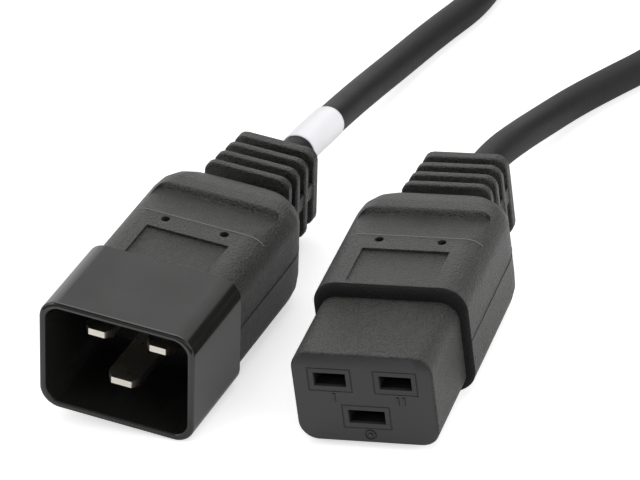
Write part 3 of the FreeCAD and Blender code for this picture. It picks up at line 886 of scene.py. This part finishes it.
# %% Handling
handling, start, end = new_group("handling_marks", {"Patch Size": 0.02}, ["Patches"])
scale = math_node(handling, "DIVIDE", 1.0, start.outputs["Patch Size"])
clouds = handling.nodes.new("ShaderNodeTexNoise")
clouds.inputs["Detail"].default_value = 5.0
clouds.inputs["Roughness"].default_value = 0.62
handling.links.new(start.outputs["Vector"], clouds.inputs["Vector"])
handling.links.new(scale, clouds.inputs["Scale"])
handling.links.new(clouds.outputs[0], end.inputs["Patches"])
print("handling nodes:", len(handling.nodes))

# %% [markdown]
# Some places on one piece have another finish or painted shade. The connector's front rim is
# matt and painted darker, as painted shade; its mating face is smooth; and the inside of the
# slots is painted dark, as painted shade. Faces could be given a second material by hand, but
# the choice would be lost when the CAD piece changes. A group marks such a place by its limits
# along the length instead.

# %% A band across the length
band, start, end = new_group(
    "band_along_y", {"Front": 0.0, "Rear": 0.0, "Soft Edge": 0.0002}, ["Mask"])
split_axes = band.nodes.new("ShaderNodeSeparateXYZ")
band.links.new(start.outputs["Vector"], split_axes.inputs[0])
along = split_axes.outputs["Y"]
past_front = math_node(band, "SUBTRACT", along, start.outputs["Front"])
before_rear = math_node(band, "SUBTRACT", start.outputs["Rear"], along)
inside = math_node(band, "MINIMUM", past_front, before_rear)
mask = math_node(band, "DIVIDE", inside, start.outputs["Soft Edge"], clamp=True)
band.links.new(mask, end.inputs["Mask"])
print("groups:", [g.name for g in bpy.data.node_groups])

# %% [markdown]
# ## Finishes
#
# A helper makes a material with the object's own coordinates at hand and the
# Principled shader in the material itself. Roughness, colour and bump then
# come from the groups above. Plain values would do from far away, but close up
# they look like computer plastic.

# %% Material helpers
def new_material(name, colour, roughness, metallic=0.0):
    """A material with its tree, Principled node and coordinate socket."""
    material = bpy.data.materials.new(name)
    material.use_nodes = True
    tree = material.node_tree
    principled = tree.nodes["Principled BSDF"]
    principled.inputs["Base Color"].default_value = (*colour, 1)
    principled.inputs["Roughness"].default_value = roughness
    principled.inputs["Metallic"].default_value = metallic
    place = tree.nodes.new("ShaderNodeTexCoord").outputs["Object"]
    return material, tree, principled, place


def use_group(tree, group, place, **values):
    """Place a group, feed it coordinates and set its values."""
    node = tree.nodes.new("ShaderNodeGroup")
    node.node_tree = group
    tree.links.new(place, node.inputs["Vector"])
    for label, value in values.items():
        node.inputs[label.replace("_", " ")].default_value = value
    return node


def blend_colours(tree, factor, first, second):
    """The first colour where the factor is 0, the second where it is 1."""
    node = tree.nodes.new("ShaderNodeMix")
    node.data_type = "RGBA"
    node.inputs[6].default_value = (*first, 1)
    node.inputs[7].default_value = (*second, 1)
    tree.links.new(factor, node.inputs[0])
    return node.outputs[2]


def patchy_roughness(tree, principled, patches, low, high):
    """Roughness between two values; noise mostly stays between 0.3 and 0.7."""
    node = tree.nodes.new("ShaderNodeMapRange")
    tree.links.new(patches, node.inputs["Value"])
    node.inputs["From Min"].default_value = 0.3
    node.inputs["From Max"].default_value = 0.7
    node.inputs["To Min"].default_value = low
    node.inputs["To Max"].default_value = high
    tree.links.new(node.outputs[0], principled.inputs["Roughness"])


def bump(tree, principled, height, strength, distance):
    """A Bump node between a height and the material's normal."""
    node = tree.nodes.new("ShaderNodeBump")
    node.inputs["Strength"].default_value = strength
    node.inputs["Distance"].default_value = distance
    tree.links.new(height, node.inputs["Height"])
    tree.links.new(node.outputs[0], principled.inputs["Normal"])


# %% [markdown]
# Flexible PVC is nearly black in its pits and greyer on the tops of its grain,
# and from a distance the two blend to a soft dark grey. One helper makes every
# grained material. The cord is smoother and duller than the housings, and the
# straps have a coarse matt weave.

# %% Grained materials
def grained(name, dark, light, roughness, grain_size, depth, gloss=0.5, contrast=1.0):
    """A grained and slightly patchy material; grain size and depth are in metres."""
    material, tree, principled, place = new_material(name, dark, roughness)
    principled.inputs["Specular IOR Level"].default_value = gloss
    marks = use_group(tree, handling, place, Patch_Size=0.012)
    texture = use_group(tree, grain, place, Grain_Size=grain_size, Unevenness=0.5,
                        Contrast=contrast)
    mixed = math_node(tree, "ADD", marks.outputs["Patches"], texture.outputs["Speckle"])
    tree.links.new(blend_colours(tree, mixed, dark, light), principled.inputs["Base Color"])
    patchy_roughness(tree, principled, marks.outputs["Patches"],
                     roughness - 0.05, roughness + 0.05)
    bump(tree, principled, texture.outputs["Height"], 1.0, depth)
    return material


jacket_grain = dict(dark=(0.004, 0.0039, 0.0035), light=(0.040, 0.0392, 0.036),
                    roughness=0.36, grain_size=0.00034, depth=0.0004, contrast=3.5)
jacket_pvc = grained("jacket_pvc", **jacket_grain)
cord_pvc = grained("cord_pvc", (0.011, 0.011, 0.0107), (0.018, 0.018, 0.0177),
                   roughness=0.54, grain_size=0.0006, depth=0.00005, gloss=0.26)
strap_weave = grained("strap_weave", (0.010, 0.010, 0.011), (0.020, 0.020, 0.021),
                      roughness=0.8, grain_size=0.0005, depth=0.0002)
print("grained:", jacket_pvc.name, cord_pvc.name, strap_weave.name)

# %% [markdown]
# The hard plastics and the mating face come from smooth steel, so they use the same helper with
# hardly any depth. The lines of the mould are painted apart: the line across the top is painted
# light, as a painted highlight, and the lines on the sides are painted near black, as painted
# shade.

# %% Smooth moulded plastics
face_grain = dict(dark=(0.029, 0.0295, 0.031), light=(0.034, 0.0345, 0.0365),
                  roughness=0.48, grain_size=0.0005, depth=0.00001)
face_plastic = grained("face_plastic", **face_grain)
faint_grain = dict(grain_size=0.0003, depth=0.00001)
holder_plastic = grained("holder_plastic", (0.010, 0.010, 0.010), (0.014, 0.014, 0.014),
                         roughness=0.4, **faint_grain)
# Light grey for the line across the tops: a painted highlight on a black part.
painted_highlight_plastic = grained("painted_highlight_plastic", (0.19, 0.187, 0.175), (0.24, 0.236, 0.222),
                       roughness=0.5, **faint_grain)
# Near black for the lines on the sides and the sloping sides of the marks: painted shade.
painted_shade_plastic = grained("painted_shade_plastic", (0.002, 0.002, 0.002), (0.004, 0.004, 0.004),
                        roughness=0.7, gloss=0.1, **faint_grain)
print("smooth:", face_plastic.name, holder_plastic.name)

# %% [markdown]
# ## Bands with another finish or painted shade
#
# The band group now marks the rim, the mating face and the depth of the slots.
# Three more materials on parts of the mesh would draw hard borders. Under a
# mask, a plain value softly takes the place of what fed the shader's colour,
# roughness or bump before.

# %% Helpers for bands
def band_mask(tree, front, rear):
    """1 between two distances behind the mating face, in millimetres."""
    place = tree.nodes.new("ShaderNodeTexCoord").outputs["Object"]
    node = use_group(tree, band, place, Front=face_y + front * MM, Rear=face_y + rear * MM)
    return node.outputs["Mask"]


def put_under_mask(tree, mask, socket, value):
    """Where the mask is 1, a fed socket takes a plain value or colour instead."""
    is_colour = isinstance(value, tuple)
    node = tree.nodes.new("ShaderNodeMix")
    node.data_type = "RGBA" if is_colour else "FLOAT"
    first, second, result = (6, 7, 2) if is_colour else (2, 3, 0)
    tree.links.new(mask, node.inputs[0])
    tree.links.new(socket.links[0].from_socket, node.inputs[first])
    node.inputs[second].default_value = (*value, 1) if is_colour else value
    tree.links.new(node.outputs[result], socket)


def painted_shade_band(material, front, rear, colour, roughness):
    """A band that is matt and painted dark, as painted shade, between two distances behind the
    mating face.
    """
    tree = material.node_tree
    principled = tree.nodes["Principled BSDF"]
    mask = band_mask(tree, front, rear)
    put_under_mask(tree, mask, principled.inputs["Base Color"], colour)
    put_under_mask(tree, mask, principled.inputs["Roughness"], roughness)


# %% The connector's own bands
connector_pvc = grained("connector_pvc", **jacket_grain)
# The front rim is made matt and painted dark: painted shade where the nose shades it.
painted_shade_band(connector_pvc, 19.8, 21.45, colour=(0.003, 0.0028, 0.003), roughness=1.0)
tree = connector_pvc.node_tree
shut_face = band_mask(tree, -1.0, 0.2)
put_under_mask(tree, shut_face, tree.nodes["Principled BSDF"].inputs["Base Color"],
               (0.030, 0.030, 0.032))
put_under_mask(tree, shut_face, tree.nodes["Bump"].inputs["Height"], 0.5)

slot_plastic = grained("slot_plastic", **face_grain)
# The depth of the slots is painted near black: painted shade.
painted_shade_band(slot_plastic, 0.7, 60.0, colour=(0.003, 0.0024, 0.002), roughness=0.95)
print("banded:", connector_pvc.name, slot_plastic.name)

# %% [markdown]
# The plug's shroud is moulded in hard plastic against polished steel. It could
# be a plain glossy black, but real mirror images on it waver a little. A low
# roughness that changes in patches and a very shallow bump give it that.

# %% Polished hard plastic
shroud_gloss, tree, principled, place = new_material(
    "shroud_gloss", (0.012, 0.0118, 0.0111), 0.15)
principled.inputs["Specular IOR Level"].default_value = 0.62
marks = use_group(tree, handling, place, Patch_Size=0.015)
patchy_roughness(tree, principled, marks.outputs["Patches"], 0.13, 0.22)
bump(tree, principled, marks.outputs["Patches"], 0.15, 0.0001)
print("polished:", shroud_gloss.name)

# %% [markdown]
# The pins are nickel-plated, the contacts are brass and the strands are bare
# copper. Bare metal has no colour under its shine, so Metallic is 1 and Base
# Color is the tint of what it mirrors. Patches in the roughness keep it from
# looking like a perfect mirror.

# %% Metals
def metal(name, colour, roughness, patch_size, low, high):
    """Bare metal whose roughness changes a little from patch to patch."""
    material, tree, principled, place = new_material(name, colour, roughness, metallic=1.0)
    marks = use_group(tree, handling, place, Patch_Size=patch_size)
    patchy_roughness(tree, principled, marks.outputs["Patches"], low, high)
    return material


pin_nickel = metal("pin_nickel", (0.80, 0.76, 0.68), 0.28, 0.003, 0.26, 0.34)
contact_brass = metal("contact_brass", (0.70, 0.52, 0.22), 0.3, 0.004, 0.25, 0.4)
bare_copper = metal("bare_copper", (0.72, 0.36, 0.22), 0.35, 0.001, 0.3, 0.45)
print("metals:", pin_nickel.name, contact_brass.name, bare_copper.name)

# %% [markdown]
# The insulated cores have the usual colours: brown, blue, and green with
# yellow, which is only blended in patches because the cores are hidden inside.
# The label's film is smooth and nearly white.

# %% Core insulation and label film
def patchy_colour(name, dark, light):
    """Smooth plastic whose colour changes a little from patch to patch."""
    material, tree, principled, place = new_material(name, dark, roughness=0.4)
    marks = use_group(tree, handling, place, Patch_Size=0.003)
    tree.links.new(blend_colours(tree, marks.outputs["Patches"], dark, light),
                   principled.inputs["Base Color"])
    return material


brown_core = patchy_colour("brown_core", (0.10, 0.035, 0.012), (0.14, 0.05, 0.02))
blue_core = patchy_colour("blue_core", (0.02, 0.10, 0.40), (0.03, 0.14, 0.5))
earth_core = patchy_colour("earth_core", (0.08, 0.28, 0.03), (0.55, 0.55, 0.03))
label_film = patchy_colour("label_film", (0.80, 0.80, 0.83), (0.86, 0.86, 0.88))
print("materials:", len(bpy.data.materials))

# %% [markdown]
# ## Dress the CAD pieces
#
# The CAD meshes are light: a round edge is a few flats. Three modifiers make
# them look moulded without moving a vertex. Weld joins the faces, Edge Split
# keeps the real corners crisp, and Weighted Normal lets the large flats stay
# flat while the small bevels between them shade as rounds.

# %% Finish per node
finish_of = {
    "connector_housing": connector_pvc, "connector_core": slot_plastic,
    "plug_housing": jacket_pvc, "plug_shroud": shroud_gloss, "plug_bridge": holder_plastic,
    "connector_cord_end": cord_pvc, "plug_cord_end": cord_pvc,
}
core_finish = {"line": brown_core, "neutral": blue_core, "earth": earth_core}
for name in nodes:
    pole = name.rsplit("_", 1)[-1]
    if "_wire_" in name:
        finish_of[name] = core_finish[pole]
    elif "_strands_" in name:
        finish_of[name] = bare_copper
    elif "_contact_" in name:
        finish_of[name] = contact_brass
    elif "_pin_" in name:
        finish_of[name] = pin_nickel


def shade_as_moulding(obj):
    """Weld, split the true corners and weight the normals by face area."""
    for polygon in obj.data.polygons:
        polygon.use_smooth = True
    weld = obj.modifiers.new("join_faces", "WELD")
    weld.merge_threshold = 1e-6
    split = obj.modifiers.new("true_corners", "EDGE_SPLIT")
    split.split_angle = math.radians(50.0)
    weight = obj.modifiers.new("flat_faces_stay_flat", "WEIGHTED_NORMAL")
    weight.weight = 80


for name, obj in nodes.items():
    if name in finish_of:
        obj.data.materials.clear()
        obj.data.materials.append(finish_of[name])
    shade_as_moulding(obj)
print("finished nodes:", len(finish_of))

# %% [markdown]
# The pieces made here get their finish the same way. The sloping sides of the raised marks are
# painted darker than their flat tops, as painted shade, so they can be read.

# %% Finish for the pieces made here
made_here = [(power_cord, cord_pvc), (wrap_label, label_film), (strap_a, strap_weave),
             (strap_b, strap_weave), (groove_flash, face_plastic), (slot_marks, face_plastic)]
# The lines on the sides get painted shade, the lines across the tops a painted highlight.
made_here += [(line, painted_shade_plastic) for line in parting_lines]
made_here += [(line, painted_highlight_plastic) for line in insert_lines]
for obj, finish in made_here:
    obj.data.materials.append(finish)
# The sloping sides of the marks get the near-black material: painted shade.
slot_marks.data.materials.append(painted_shade_plastic)
for polygon in slot_marks.data.polygons:
    slopes = abs(polygon.normal.y) < 0.9
    polygon.material_index = int(slopes)
print("pieces made here:", len(made_here))

# %% How much the box has grown
bpy.context.view_layer.update()
new_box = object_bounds()
growth = [round((b - a) / MM, 2) for p, q in zip(cad_box, new_box) for a, b in zip(p, q)]
print("grown by", growth)
